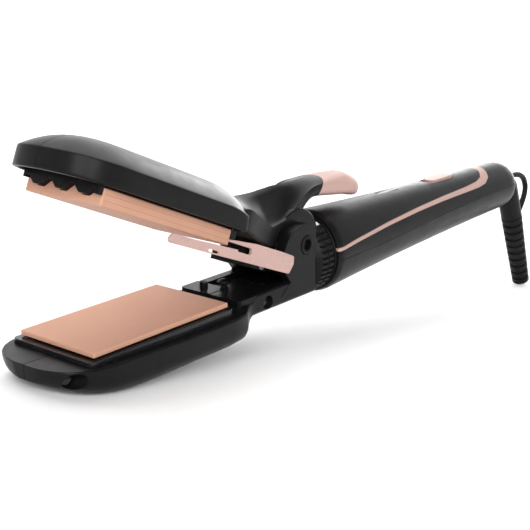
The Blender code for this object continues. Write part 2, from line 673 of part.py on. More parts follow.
def trim_outline(extra=0.0):
    """Side view of the trim strip: it runs back along the flank and turns up over the top."""
    path = [(148.0, 3.8), (169.0, 5.5), (198.0, 7.2), (228.0, 8.3), (256.0, 8.8), (282.0, 8.9),
            (297.0, 9.2), (305.0, 10.1), (311.0, 12.3), (315.5, 15.8), (318.0, 20.0)]
    widths = [0.7, 0.75, 0.8, 0.88, 1.0, 1.15, 1.35, 1.6, 1.8, 1.9, 1.9]
    upper, lower = [], []
    for i, ((x, z), width) in enumerate(zip(path, widths)):
        (xa, za), (xb, zb) = path[max(0, i - 1)], path[min(len(path) - 1, i + 1)]
        angle = atan2(zb - za, xb - xa)
        reach = width + extra
        upper.append((x - sin(angle) * reach, z + cos(angle) * reach))
        lower.append((x + sin(angle) * reach, z - cos(angle) * reach))
    return upper + lower[::-1]


def oval(x0, x1, half, count=9):
    """The outline of a slot with round ends."""
    return arc((x1 - half, 0), half, -90, 90, count) + arc((x0 + half, 0), half, 90, 270, count)


def handle():
    """Shells, trim, switch, light window, board and screws of the handle."""
    upper = handle_skin("handle_upper_shell", 0.0, -SHELL)
    wall = turned("front_wall", [(HANDLE_X + 2.4, 17.0), (HANDLE_X, 17.0), (HANDLE_X, 13.3),
                                 (HANDLE_X + 2.4, 13.3)], (0, 0, HANDLE_AXIS_Z), "X", 48)
    upper = join(upper, wall)
    lower = copy_of("handle_lower_shell", upper)
    upper = keep(upper, prism("above", seam_outline(0.1, 40.0), -40, 40, "XZ"))
    lower = keep(lower, prism("below", seam_outline(-0.1, -40.0), -40, 40, "XZ"))

    trim = keep(handle_skin("handle_trim", 0.12, -TRIM_DEPTH),
                prism("band", trim_outline(), -40, 40, "XZ"))
    groove = keep(handle_skin("groove", 2.0, -TRIM_DEPTH - GAP),
                  prism("band", trim_outline(0.25), -40, 40, "XZ"))
    top = HANDLE_AXIS_Z + handle_radius(272.0)
    upper = cut(upper, groove,
                prism("switch_slot", oval(SWITCH_X[0] - 4.6, SWITCH_X[1] + 0.5, 4.6), 8.0, 24.0),
                prism("window_slot", oval(WINDOW_X[0] - 0.2, WINDOW_X[1] + 0.2, 1.5, 5), 8.0, 24.0))
    switch = prism("power_switch", oval(SWITCH_X[0], SWITCH_X[1], 4.1), top - 3.6, top + 0.7)
    switch = round_edges(switch, 0.6, 2, 60)
    window = prism("indicator_window", oval(WINDOW_X[0], WINDOW_X[1], 1.2, 5), 14.0,
                   HANDLE_AXIS_Z + handle_radius(221.0) - 0.1)
    body = box("switch_body", (256.0, -5.0, 4.0), (288.0, 5.0, top - 4.0))
    board = box("circuit_board", (206.0, -9.0, 2.0), (292.0, 9.0, 3.6))
    screws = []
    for name, x in (("handle_screw_front", 184.0), ("handle_screw_rear", 316.0)):
        under = HANDLE_AXIS_Z - handle_radius(x)
        roof = HANDLE_AXIS_Z + handle_radius(x) - 1.9
        post = rod("post", (x, 0, -2.0), (x, 0, roof), 3.2, 20)
        upper = cut(join(upper, post), rod("pilot", (x, 0, -4), (x, 0, 6.0), 1.4, 12))
        boss = rod("boss", (x, 0, under + 1.0), (x, 0, -2.4), 4.4, 20)
        well = rod("well", (x, 0, under - 2), (x, 0, -6.4), 2.8, 20)
        lower = cut(join(lower, boss), well, rod("clearance", (x, 0, -8), (x, 0, 0), 1.6, 12))
        screws.append(screw(name, (x, 0, -8.3), (x, 0, 5.4)))
    give([upper, lower], "satin_black")
    give([trim, switch], "rose_gold")
    give([window], "smoke")
    give([body], "plain_black")
    give([board], "board")
    give(screws, "steel")
    return [upper, lower, trim, window, body, board, *screws], switch


def lock_ring():
    """The ribbed ring that locks the head to the handle, its white mark, and the head's spigot."""
    outline = []
    pitch = 360.0 / RING_RIBS
    for i in range(RING_RIBS):
        centre = 90.0 + pitch * i
        plain = abs((centre - 90.0 + 180.0) % 360.0 - 180.0) < 42.0
        depth = 0.25 if plain else 1.0
        for offset, radius in ((-0.46, RING_RADIUS), (-0.10, RING_RADIUS), (0.0, RING_RADIUS - depth),
                               (0.34, RING_RADIUS - depth)):
            angle = radians(centre + offset * pitch)
            outline.append((radius * cos(angle), HANDLE_AXIS_Z + radius * sin(angle)))
    inner = arc((0, HANDLE_AXIS_Z), 13.6, 0, 350, 36)
    ring = prism("lock_ring", [outline, inner], RING_FRONT_X, RING_REAR_X, "YZ")
    turn = (Matrix.Translation((0, 0, HANDLE_AXIS_Z * MM)) @ Matrix.Rotation(radians(30), 4, "X")
            @ Matrix.Translation((0, 0, -HANDLE_AXIS_Z * MM)))
    level = HANDLE_AXIS_Z + RING_RADIUS
    mark = box("lock_mark", (143.0, -0.9, level - 1.1), (149.0, 0.9, level + 0.05))
    seat = box("mark_seat", (142.7, -1.2, level - 1.4), (149.3, 1.2, level + 2.0))
    for piece in (mark, seat):
        piece.data.transform(turn)
    ring = cut(ring, seat)
    spigot = turned("head_spigot", [(164.0, 11.0), (164.0, 12.8), (154.0, 12.8), (154.0, 13.0),
                                    (136.7, 13.0), (136.7, 8.0), (164.0, 8.0)],
                    (0, 0, HANDLE_AXIS_Z), "X", 40)
    give([ring], "plain_black")
    give([mark], "white_mark")
    give([spigot], "plain_black")
    return ring, mark, spigot


def cord_relief():
    """The swivel hub at the handle's end, and the elbow with its ribbed relief and hanging eye."""
    hub = turned("swivel_hub", [(348.6, 3.2), (348.6, 6.3), (343.4, 6.3), (343.2, 9.3), (340.4, 9.3),
                                (340.4, 3.2)], (0, 0, HANDLE_AXIS_Z), "X", 32)
    along = (RELIEF_END - RELIEF_TOP).normalized()
    length = (RELIEF_END - RELIEF_TOP).length
    bend = [(x, 0, z) for x, z in arc((349.5, HANDLE_AXIS_Z - 9.0), 9.0, 90, 26, 8)]
    elbow = tube("strain_relief", bend + [RELIEF_TOP + along * 1.0], RELIEF_RADIUS[0], False, 4)
    pitch = length / RELIEF_RIBS
    profile = [(0.0, 0.0)]
    for i in range(RELIEF_RIBS):
        near = RELIEF_RADIUS[0] + (RELIEF_RADIUS[1] - RELIEF_RADIUS[0]) * i / (RELIEF_RIBS - 1)
        start = pitch * i
        profile += [(start, near - 1.1), (start + pitch * 0.30, near - 1.1),
                    (start + pitch * 0.36, near), (start + pitch * 0.94, near)]
    profile += [(length - 0.1, RELIEF_RADIUS[1] - 0.4), (length, RELIEF_RADIUS[1] - 1.2), (length, 0.0)]
    ribbed = turned("ribbed", profile[::-1], (0, 0, 0), "Z", 24)
    slant = along.to_track_quat("Z", "Y").to_matrix().to_4x4()
    ribbed.data.transform(Matrix.Translation(RELIEF_TOP * MM) @ slant)
    eye_path = [(358.0, 1.0), (364.0, 1.9), (372.0, 1.2), (378.6, -1.6), (382.6, -6.4),
                (383.2, -11.4), (380.6, -17.0), (375.4, -23.4), (371.0, -28.0)]
    eye = tube("eye", [(x, 0, z) for x, z in eye_path], EYE_WIRE_RADIUS, True, 2)
    relief = join(elbow, ribbed, eye)
    bore = rod("cord_bore", RELIEF_END - along * 16, RELIEF_END + along * 2, 3.0, 20)
    relief = cut(relief, bore)
    give([hub], "plain_black")
    give([relief], "rubber")
    return [hub, relief]


# ---------------------------------------------------------------- assembly

def give(pieces, name):
    """Put one finish on some pieces, and shade their round faces smooth."""
    for piece in pieces:
        piece.data.materials.clear()
        piece.data.materials.append(finish(name))
        piece.data.shade_smooth()
        piece.data.set_sharp_from_angle(angle=radians(35))


def axis_empty(name, place, parent):
    """An empty on a joint's axis, placed in the tool's frame."""
    empty = bpy.data.objects.new(name, None)
    bpy.context.scene.collection.objects.link(empty)
    empty.parent = parent
    empty.location = Vector(place) * MM
    return empty


def mount(pieces, parent):
    """Hang pieces on an empty, keeping where they lie in the tool's frame while it is unturned."""
    for piece in pieces:
        piece.parent = parent
        if parent.parent is not None:
            piece.location = -parent.location


def set_down(stance, pieces):
    """Tilt and lift the tool so that its nose and its relief's rim both rest on the floor."""
    front = [Vector(v.co) for p in pieces if p.name.startswith("lower_arm") for v in p.data.vertices]
    rear = [Vector(v.co) for p in pieces if p.name == "strain_relief" for v in p.data.vertices]
    tilt = 0.0
    for _ in range(20):
        a = min(front, key=lambda v: v.x * sin(tilt) + v.z * cos(tilt))
        b = min(rear, key=lambda v: v.x * sin(tilt) + v.z * cos(tilt))
        tilt = atan2(a.z - b.z, b.x - a.x)
    lowest = a.x * sin(tilt) + a.z * cos(tilt)
    stance.rotation_euler = (0.0, -tilt, 0.0)
    bpy.context.view_layer.update()
    points = [piece.matrix_world @ v.co for piece in pieces for v in piece.data.vertices]
    centre = (min(p.x for p in points) + max(p.x for p in points)) / 2
    stance.location = (-centre, 0.0, -lowest)


def main():
    clear_scene()
    stance = bpy.data.objects.new("stance", None)
    bpy.context.scene.collection.objects.link(stance)
    jaw = axis_empty("jaw_hinge", PIN, stance)
    ring_axis = axis_empty("lock_ring_axis", (RING_REAR_X, 0, HANDLE_AXIS_Z), stance)
    switch_axis = axis_empty("switch_axis", (SWITCH_X[0], 0, 15.0), stance)
    swivel = axis_empty("swivel_axis", (HANDLE_END_X, 0, HANDLE_AXIS_Z), stance)

    fixed_handle, switch = handle()
    ring, mark, spigot = lock_ring()
    fixed = lower_arm() + lower_plates() + deck_pieces() + hinge_pieces() + fixed_handle + [spigot]
    arm = upper_arm() + upper_plates() + bracket_pieces()
    relief = cord_relief()
    mount(fixed, stance)
    mount(arm, jaw)
    mount([ring, mark], ring_axis)
    mount([switch], switch_axis)
    mount(relief, swivel)

    pieces = fixed + arm + [ring, mark, switch] + relief
    jaw.rotation_euler = (0.0, OPEN_ANGLE, 0.0)
    set_down(stance, pieces)

    home = bpy.data.collections.new("hair_crimper")
    bpy.context.scene.collection.children.link(home)
    for piece in pieces + [stance, jaw, ring_axis, switch_axis, swivel]:
        bpy.context.scene.collection.objects.unlink(piece)
        home.objects.link(piece)


main()
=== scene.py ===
"""Hair crimper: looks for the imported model.

Shapes are drawn in the tool's own frame in millimetres, as in the CAD: X from the nose to the cord end,
Y across, Z up, jaws shut, origin at the middle of the lower cover plate's top front edge. tool_to_row
carries a point of the fixed parts into the row frame, in metres. upper_to_row does the same for a point of
the upper arm, and opens the jaws as they are at rest.
"""
import json
from math import atan2, cos, pi, radians, sin

import bmesh
import bpy
from mathutils import Matrix, Vector


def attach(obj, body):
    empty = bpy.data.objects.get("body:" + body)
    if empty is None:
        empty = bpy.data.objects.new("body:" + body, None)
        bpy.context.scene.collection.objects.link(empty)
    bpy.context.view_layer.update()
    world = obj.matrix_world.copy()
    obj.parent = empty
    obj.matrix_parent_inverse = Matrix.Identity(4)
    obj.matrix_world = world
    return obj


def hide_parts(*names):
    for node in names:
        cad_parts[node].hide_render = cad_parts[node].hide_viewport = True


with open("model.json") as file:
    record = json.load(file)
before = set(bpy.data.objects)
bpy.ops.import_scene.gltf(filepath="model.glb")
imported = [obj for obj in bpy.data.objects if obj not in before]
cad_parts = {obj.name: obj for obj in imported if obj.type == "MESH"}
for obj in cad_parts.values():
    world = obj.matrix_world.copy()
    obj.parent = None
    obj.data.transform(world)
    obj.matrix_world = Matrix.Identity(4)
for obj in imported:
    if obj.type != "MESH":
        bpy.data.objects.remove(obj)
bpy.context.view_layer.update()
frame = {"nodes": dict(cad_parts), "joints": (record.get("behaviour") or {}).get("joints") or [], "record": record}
nodes = frame["nodes"]
joints = {joint["name"]: joint for joint in frame["joints"]}

MM = 0.001
WELD = 1e-6                      # vertices closer than this, in metres, are one

# ---------------------------------------------------------------- the tool's frame

PIN = Vector((130.0, 0.0, 11.3))            # the hinge pin
tool_axis = Vector(joints["lock_ring_turn"]["axis"])
tilt = atan2(tool_axis.z, tool_axis.x)
open_angle = -radians(joints["jaw_hinge"]["range_deg"][0])
lean = Matrix.Rotation(-tilt, 4, "Y")
pin_at = Vector(joints["jaw_hinge"]["pos_m"])
tool_to_row = Matrix.Translation(pin_at) @ lean @ Matrix.Translation(-PIN * MM) @ Matrix.Scale(MM, 4)
shut_to_open = Matrix.Translation(PIN) @ Matrix.Rotation(open_angle, 4, "Y") @ Matrix.Translation(-PIN)
upper_to_row = tool_to_row @ shut_to_open


# ---------------------------------------------------------------- materials

class Shader:
    """A Principled material and short ways to add nodes to it."""

    def __init__(self, name, color, roughness, metallic=0.0, **sockets):
        self.material = bpy.data.materials.new(name)
        self.material.use_nodes = True
        self.tree = self.material.node_tree
        self.principled = self.tree.nodes["Principled BSDF"]
        self.principled.inputs["Base Color"].default_value = (*color, 1.0)
        self.principled.inputs["Roughness"].default_value = roughness
        self.principled.inputs["Metallic"].default_value = metallic
        for socket, value in sockets.items():
            self.principled.inputs[socket.replace("_", " ")].default_value = value
        self.place = self.tree.nodes.new("ShaderNodeTexCoord").outputs["Object"]

    def link(self, output, node, socket):
        self.tree.links.new(output, node.inputs[socket])

    def noise(self, scale, detail=2.0, stretch=None):
        """Noise with features 1/scale metres across, drawn out along an axis if stretch is given."""
        node = self.tree.nodes.new("ShaderNodeTexNoise")
        node.inputs["Scale"].default_value = scale
        node.inputs["Detail"].default_value = detail
        if stretch is None:
            self.link(self.place, node, "Vector")
        else:
            mapping = self.tree.nodes.new("ShaderNodeMapping")
            mapping.inputs["Scale"].default_value = stretch
            mapping.inputs["Rotation"].default_value = (0.0, tilt, 0.0)
            self.link(self.place, mapping, "Vector")
            self.link(mapping.outputs["Vector"], node, "Vector")
        return node.outputs["Fac"]

    def between(self, factor, low, high, at=(0.3, 0.7)):
        """A number that runs from low to high as factor runs between the two marks."""
        node = self.tree.nodes.new("ShaderNodeMapRange")
        node.inputs["From Min"].default_value, node.inputs["From Max"].default_value = at
        node.inputs["To Min"].default_value, node.inputs["To Max"].default_value = low, high
        self.link(factor, node, "Value")
        return node.outputs["Result"]

    def blend_colors(self, factor, first, second):
        node = self.tree.nodes.new("ShaderNodeMix")
        node.data_type = "RGBA"
        self.link(factor, node, "Factor")
        node.inputs["A"].default_value = (*first, 1.0)
        node.inputs["B"].default_value = (*second, 1.0)
        return node.outputs["Result"]

    def color(self, output):
        self.link(output, self.principled, "Base Color")

    def roughness(self, output):
        self.link(output, self.principled, "Roughness")

    def bump(self, height, strength, distance):
        node = self.tree.nodes.new("ShaderNodeBump")
        node.inputs["Strength"].default_value = strength
        node.inputs["Distance"].default_value = distance
        self.link(height, node, "Height")
        self.link(node.outputs["Normal"], self.principled, "Normal")


def moulded_plastic(name, dark, light, roughness, grain=0.25, grain_scale=5200.0, **sockets):
    """Moulded plastic with a fine spark-eroded grain and slightly uneven gloss."""
    shader = Shader(name, dark, roughness, **sockets)
    shader.color(shader.blend_colors(shader.between(shader.noise(34.0, 3.0), 0.0, 1.0), dark, light))
    shader.roughness(shader.between(shader.noise(160.0, 4.0), roughness - 0.035, roughness + 0.045))
    shader.bump(shader.noise(grain_scale, 1.0), strength=grain, distance=0.04 * MM)
    return shader.material


def polished_plastic(name, dark, light, roughness, **sockets):
    """Polished plastic: a slow ripple from moulding and a few faint rubbed patches."""
    shader = Shader(name, dark, roughness, **sockets)
    shader.color(shader.blend_colors(shader.between(shader.noise(40.0), 0.0, 1.0), dark, light))
    shader.roughness(shader.between(shader.noise(90.0, 5.0), roughness - 0.02, roughness + 0.05))
    shader.bump(shader.noise(120.0, 2.0), strength=0.08, distance=0.2 * MM)
    return shader.material


def coated_metal(name, first, second, roughness, metallic, brush=(1.0, 40.0, 40.0), **sockets):
    """Satin coated metal: fine brushed lines, along the tool by default, and a slow shift in tint."""
    shader = Shader(name, first, roughness, metallic, **sockets)
    shader.color(shader.blend_colors(shader.between(shader.noise(26.0, 2.0), 0.0, 1.0), first, second))
    lines = shader.noise(60.0, 4.0, brush)
    shader.roughness(shader.between(lines, roughness - 0.05, roughness + 0.06))
    shader.bump(lines, strength=0.05, distance=0.1 * MM)
    return shader.material


def blasted_metal(name, first, second, roughness, metallic, **sockets):
    """Metal with a fine sand-blasted sparkle."""
    shader = Shader(name, first, roughness, metallic, **sockets)
    grain = shader.noise(2400.0, 2.0)
    shader.color(shader.blend_colors(shader.between(grain, 0.0, 1.0), first, second))
    shader.roughness(shader.between(shader.noise(120.0, 3.0), roughness - 0.04, roughness + 0.05))
    shader.bump(grain, strength=0.35, distance=0.06 * MM)
    return shader.material


def make_materials():
    """Every finish, by the name of its slot in the record; the colours are linear."""
    dull = {"Specular_IOR_Level": 0.12}
    return {
        "satin_black": moulded_plastic(
            "satin_black", (0.004, 0.004, 0.0044), (0.0055, 0.0055, 0.006), 0.35, grain=0.2, **dull),
        "gloss_black": polished_plastic(
            "gloss_black", (0.006, 0.006, 0.007), (0.009, 0.009, 0.010), 0.16, Specular_IOR_Level=0.3),
        "plain_black": moulded_plastic(
            "plain_black", (0.0035, 0.0035, 0.0038), (0.005, 0.005, 0.0052), 0.42, **dull),
        "rubber": moulded_plastic(
            "rubber", (0.0045, 0.0045, 0.005), (0.007, 0.007, 0.0072), 0.50, grain=0.35, grain_scale=2600.0,
            **dull),
        "copper": coated_metal(
            "copper", (0.50, 0.276, 0.190), (0.46, 0.251, 0.171), 0.5, 0.1, Specular_IOR_Level=0.08),
        "rose_gold": blasted_metal(
            "rose_gold", (0.465, 0.307, 0.271), (0.41, 0.267, 0.236), 0.46, 0.2, Specular_IOR_Level=0.2),
        "rose_metal": blasted_metal(
            "rose_metal", (0.54, 0.362, 0.324), (0.45, 0.297, 0.266), 0.44, 0.45),
        "steel": coated_metal(
            "steel", (0.30, 0.30, 0.31), (0.24, 0.24, 0.25), 0.36, 1.0, brush=(30.0, 1.0, 30.0)),
        "seam": coated_metal("seam", (0.16, 0.085, 0.06), (0.13, 0.07, 0.05), 0.5, 0.2),
        "ceramic": moulded_plastic("ceramic", (0.80, 0.79, 0.75), (0.84, 0.83, 0.80), 0.62),
        "board": moulded_plastic("board", (0.02, 0.15, 0.07), (0.03, 0.19, 0.09), 0.45),
        "white_mark": moulded_plastic(
            "white_mark", (0.82, 0.82, 0.82), (0.88, 0.88, 0.88), 0.50, grain=0.1),
        "smoke": polished_plastic(
            "smoke", (0.12, 0.12, 0.123), (0.15, 0.15, 0.153), 0.34, Specular_IOR_Level=0.2),
    }


def paint_cad_nodes():
    """Every CAD node takes the material of its slot, but the steel hinge pin is drawn black: painted shade in the
    holes of its caps.
    """
    for part in frame["record"]["subparts"]:
        node = nodes[part["node"]]
        node.data.materials.clear()
        # painted shade: the steel hinge pin takes plain black so the holes in the hinge caps read dark
        slot = "plain_black" if part["node"] == "hinge_pin" else part["material_slot"]
        node.data.materials.append(materials[slot])


# ---------------------------------------------------------------- camera, floor and light

# The camera in the tool's frame: where it is in millimetres, and which way it looks in degrees.
CAMERA_AT = (-242.56, -292.06, 139.62)
CAMERA_AZIMUTH, CAMERA_ELEVATION = -51.27, 16.56
CAMERA_LENS, CAMERA_SENSOR = 73.97, 36.0
CAMERA_NEAR, CAMERA_FAR = 0.01, 30.0

# The paper lies flat as far as PAPER_REACH, and bends up to a wall of height PAPER_TOP; in metres.
PAPER_REACH, PAPER_BEND, PAPER_TOP = 3.2, 0.9, 3.2

WORLD_LIGHT = 0.16
OBJECT_MIDDLE = (0.0, 0.0, 0.05)
# Each soft light: name, place, what it points at, width, height and power.
LIGHTS = (
    ("top", (0.5, 0.9, 2.2), OBJECT_MIDDLE, 3.2, 2.0, 56.0),
    ("right", (2.1, 0.55, 0.55), OBJECT_MIDDLE, 1.5, 0.8, 18.5),
    ("left", (-1.9, -0.9, 1.1), OBJECT_MIDDLE, 1.0, 1.0, 27.0),
    ("front", (-1.3, -2.0, 0.9), OBJECT_MIDDLE, 1.3, 1.3, 34.0),
    ("backdrop", (1.6, 1.4, 2.4), (3.0, 2.6, 0.9), 2.0, 2.0, 90.0),
)


def add_camera():
    """The camera, held in the tool's frame and carried into the row frame with it."""
    azimuth, elevation = radians(CAMERA_AZIMUTH), radians(CAMERA_ELEVATION)
    forward = Vector((-sin(azimuth) * cos(elevation), cos(azimuth) * cos(elevation), -sin(elevation)))
    back = -forward
    right = Vector((0, 0, 1)).cross(back).normalized()
    up = back.cross(right)
    pose = Matrix((right, up, back)).transposed().to_4x4()
    data = bpy.data.cameras.new("camera")
    data.sensor_width = CAMERA_SENSOR
    data.lens = CAMERA_LENS
    data.clip_start = CAMERA_NEAR
    data.clip_end = CAMERA_FAR
    camera = bpy.data.objects.new("camera", data)
    bpy.context.scene.collection.objects.link(camera)
    camera.matrix_world = Matrix.Translation(tool_to_row @ Vector(CAMERA_AT)) @ lean @ pose
    bpy.context.scene.camera = camera


def add_floor():
    """White paper on the table, swept up all round the tool."""
    turns = 72
    profile = [(radius, 0.0) for radius in (0.0, 0.5, 1.5, PAPER_REACH)]
    profile += [(PAPER_REACH + PAPER_BEND * sin(angle), PAPER_BEND * (1 - cos(angle)))
                for angle in steps(0.0, pi / 2, 12)[1:]]
    profile.append((PAPER_REACH + PAPER_BEND, PAPER_TOP))
    drawing = bmesh.new()
    rows = [[drawing.verts.new((radius * cos(2 * pi * i / turns), radius * sin(2 * pi * i / turns), up))
             for radius, up in profile] for i in range(turns)]
    for row, beside in zip(rows, rows[1:] + rows[:1]):
        for k in range(len(profile) - 1):
            drawing.faces.new((row[k], row[k + 1], beside[k + 1], beside[k]))
    bmesh.ops.remove_doubles(drawing, verts=drawing.verts, dist=WELD)
    mesh = to_mesh(drawing)
    mesh.shade_smooth()
    floor = bpy.data.objects.new("floor", mesh)
    bpy.context.scene.collection.objects.link(floor)
    shader = Shader("floor", (0.90, 0.90, 0.90), 0.9)
    shader.roughness(shader.between(shader.noise(3.0), 0.86, 0.94))
    floor.data.materials.append(shader.material)


def add_lights():
    world = bpy.data.worlds.new("studio")
    world.use_nodes = True
    world.node_tree.nodes["Background"].inputs["Color"].default_value = (1.0, 1.0, 1.0, 1.0)
    world.node_tree.nodes["Background"].inputs["Strength"].default_value = WORLD_LIGHT
    bpy.context.scene.world = world
    for name, at, towards, width, height, power in LIGHTS:
        data = bpy.data.lights.new(name, "AREA")
        data.shape = "RECTANGLE"
        data.size = width
        data.size_y = height
        data.energy = power
        light = bpy.data.objects.new(name, data)
        bpy.context.scene.collection.objects.link(light)
        light.location = at
        aim = Vector(towards) - Vector(at)
        light.rotation_euler = aim.to_track_quat("-Z", "Y").to_euler()
    bpy.context.scene.view_settings.view_transform = "Standard"


# ---------------------------------------------------------------- mesh helpers

def clamp(value):
    return min(max(value, 0.0), 1.0)


def along(table, x):
    """The values in a table of rows (x, value, ...) at x, on one smooth curve through the rows."""
    last = len(table) - 2
    i = min(max(sum(row[0] <= x for row in table) - 1, 0), last)
    span = table[i + 1][0] - table[i][0]
    t = clamp((x - table[i][0]) / span)

    def slope(k, column):
        low, high = max(k - 1, 0), min(k + 1, last + 1)
        return (table[high][column] - table[low][column]) / (table[high][0] - table[low][0])

    values = []
    for column in range(1, len(table[0])):
        start, end = table[i][column], table[i + 1][column]
        values.append(start * (1 + 2 * t) * (1 - t) ** 2 + end * t * t * (3 - 2 * t)
                      + span * t * (1 - t) * ((1 - t) * slope(i, column) - t * slope(i + 1, column)))
    return values


def steps(start, end, count):
    """The numbers from start to end in a number of equal steps, both ends included."""
    return [start + (end - start) * i / count for i in range(count + 1)]


def skin(rows, to_row, capped=True):
    """A skin through rows of points, each a ring with the same number of points, with end caps if capped."""
    drawing = bmesh.new()
    rings = [[drawing.verts.new(to_row @ Vector(point)) for point in row] for row in rows]
    count = len(rings[0])
    for first, second in zip(rings, rings[1:]):
        for i in range(count):
            j = (i + 1) % count
            drawing.faces.new((first[i], first[j], second[j], second[i]))
    if capped:
        drawing.faces.new(rings[0][::-1])
        drawing.faces.new(rings[-1])
    bmesh.ops.remove_doubles(drawing, verts=drawing.verts, dist=WELD)
    bmesh.ops.dissolve_degenerate(drawing, edges=drawing.edges, dist=WELD / 10)
    bmesh.ops.recalc_face_normals(drawing, faces=drawing.faces)
    return to_mesh(drawing)


def to_mesh(drawing):
    mesh = bpy.data.meshes.new("piece")
    drawing.to_mesh(mesh)
    drawing.free()
    return mesh


def combine(base, others, operation="UNION"):
    """The first mesh joined with the others, or with the others cut away for "DIFFERENCE"."""
    holder = bpy.data.objects.new("holder", base)
    bpy.context.scene.collection.objects.link(holder)
    helpers = []
    for mesh in others:
        helper = bpy.data.objects.new("helper", mesh)
        bpy.context.scene.collection.objects.link(helper)
        helpers.append(helper)
        modifier = holder.modifiers.new("combine", "BOOLEAN")
        modifier.operation = operation
        modifier.solver = "MANIFOLD"
        modifier.object = helper
    bpy.context.view_layer.update()
    result = bpy.data.meshes.new_from_object(holder.evaluated_get(bpy.context.evaluated_depsgraph_get()))
    for helper in [holder] + helpers:
        bpy.data.objects.remove(helper)
    return result


def half_of(mesh, side, gap):
    """The part of a mesh on one side of the tool's middle plane, closed along the cut."""
    drawing = bmesh.new()
    drawing.from_mesh(mesh)
    geometry = list(drawing.verts) + list(drawing.edges) + list(drawing.faces)
    bmesh.ops.bisect_plane(drawing, geom=geometry, plane_co=(0.0, side * gap, 0.0),
                           plane_no=(0.0, side, 0.0), clear_inner=True)
    open_edges = [edge for edge in drawing.edges if edge.is_boundary]
    bmesh.ops.triangle_fill(drawing, edges=open_edges, use_beauty=True)
    bmesh.ops.recalc_face_normals(drawing, faces=drawing.faces)
    return to_mesh(drawing)


FLAT_FACE_WEIGHT = 90


def weigh_normals(piece):
    """Large flat faces keep their own normal, so a rounded edge doesn't shade the face beside it."""
    modifier = piece.modifiers.new("normals", "WEIGHTED_NORMAL")
    modifier.keep_sharp = True
    modifier.weight = FLAT_FACE_WEIGHT


def add_piece(name, mesh, body, slot, *replaced, crease=32.0):
    """A finished piece on a body, standing for the replaced nodes; edges over crease degrees are sharp."""
    mesh.shade_smooth()
    mesh.set_sharp_from_angle(angle=radians(crease))
    mesh.materials.clear()
    mesh.materials.append(materials[slot])
    piece = bpy.data.objects.new(name, mesh)
    bpy.context.scene.collection.objects.link(piece)
    weigh_normals(piece)
    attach(piece, body)
    if replaced:
        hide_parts(*replaced)


# How wide each CAD node's edges are rounded, in millimetres.
EDGE_ROUNDING = {
    "lower_cover_plate": 0.5, "upper_cover_plate": 0.5, "lower_bed": 0.6, "upper_carrier": 0.4,
    "lower_arm_left_shell": 0.3, "lower_arm_right_shell": 0.3, "power_switch": 0.3,
    "handle_upper_shell": 0.2, "handle_lower_shell": 0.2, "strain_relief": 0.3, "upper_crimp_plate": 0.15,
}
ROUNDED_ABOVE, SHARP_ABOVE = 34.0, 30.0     # degrees between an edge's two faces


def make_rounder():
    """Geometry nodes that shade a CAD mesh smooth, except along its sharp edges."""
    tree = bpy.data.node_groups.new("rounder", "GeometryNodeTree")
    tree.interface.new_socket("Geometry", in_out="INPUT", socket_type="NodeSocketGeometry")
    tree.interface.new_socket("Geometry", in_out="OUTPUT", socket_type="NodeSocketGeometry")
    start, end = tree.nodes.new("NodeGroupInput"), tree.nodes.new("NodeGroupOutput")
    smooth, sharp = (tree.nodes.new("GeometryNodeSetShadeSmooth") for _ in range(2))
    sharp.domain = "EDGE"
    sharp.inputs["Shade Smooth"].default_value = False
    angle = tree.nodes.new("GeometryNodeInputMeshEdgeAngle")
    over = tree.nodes.new("FunctionNodeCompare")
    over.operation = "GREATER_THAN"
    over.inputs["B"].default_value = radians(SHARP_ABOVE)
    tree.links.new(angle.outputs["Unsigned Angle"], over.inputs["A"])
    tree.links.new(over.outputs["Result"], sharp.inputs["Selection"])
    tree.links.new(start.outputs[0], smooth.inputs["Geometry"])
    tree.links.new(smooth.outputs[0], sharp.inputs["Geometry"])
    tree.links.new(sharp.outputs[0], end.inputs[0])
    return tree


def soften_cad_nodes():
    """Every CAD node keeps its shape and gets smooth shading from modifiers; those in EDGE_ROUNDING also get
    finely rounded edges.
    """
    rounder = make_rounder()
    for name, node in nodes.items():
        weld = node.modifiers.new("weld", "WELD")
        weld.merge_threshold = WELD
        if name in EDGE_ROUNDING:
            bevel = node.modifiers.new("edges", "BEVEL")
            bevel.width = EDGE_ROUNDING[name] * MM
            bevel.segments = 2
            bevel.limit_method = "ANGLE"
            bevel.angle_limit = radians(ROUNDED_ABOVE)
        node.modifiers.new("smooth", "NODES").node_group = rounder
        weigh_normals(node)


# ---------------------------------------------------------------- upper arm

NOSE_X, NOSE_REACH = -15.6, 29.6
NOSE_BACK_X = NOSE_X + NOSE_REACH
NOSE_POWER, NOSE_SHARE = 3.2, 0.417         # how square the nose is, seen from above
ARM_HALF = 24.8
LIP_Z, EDGE_Z, CREST_RISE = 7.4, 15.2, 9.2
LIP_ROUNDING, CREST_ROUNDING = 1.1, 0.35
RECESS_Z = 12.7
REAR_X, REAR_TOP_X, REAR_BULGE, REAR_CORNER = 79.4, 78.4, 0.6, 4.5
BULGE_X, BULGE_LENGTH = 44.0, 30.0
NOSE_FALL_X, REAR_FALL_X, REAR_FALL_LENGTH = 30.0, 60.0, 18.5
REAR_FALL, REAR_SIDE_FALL = 1.6, 1.8
SPINE = (12.0, 56.0)                        # the middle line that outlines are drawn in towards


def nose_half(x):
    """Half the arm's width at x."""
    t = clamp((NOSE_BACK_X - x) / NOSE_REACH)
    return ARM_HALF * (1 - t ** NOSE_POWER) ** NOSE_SHARE


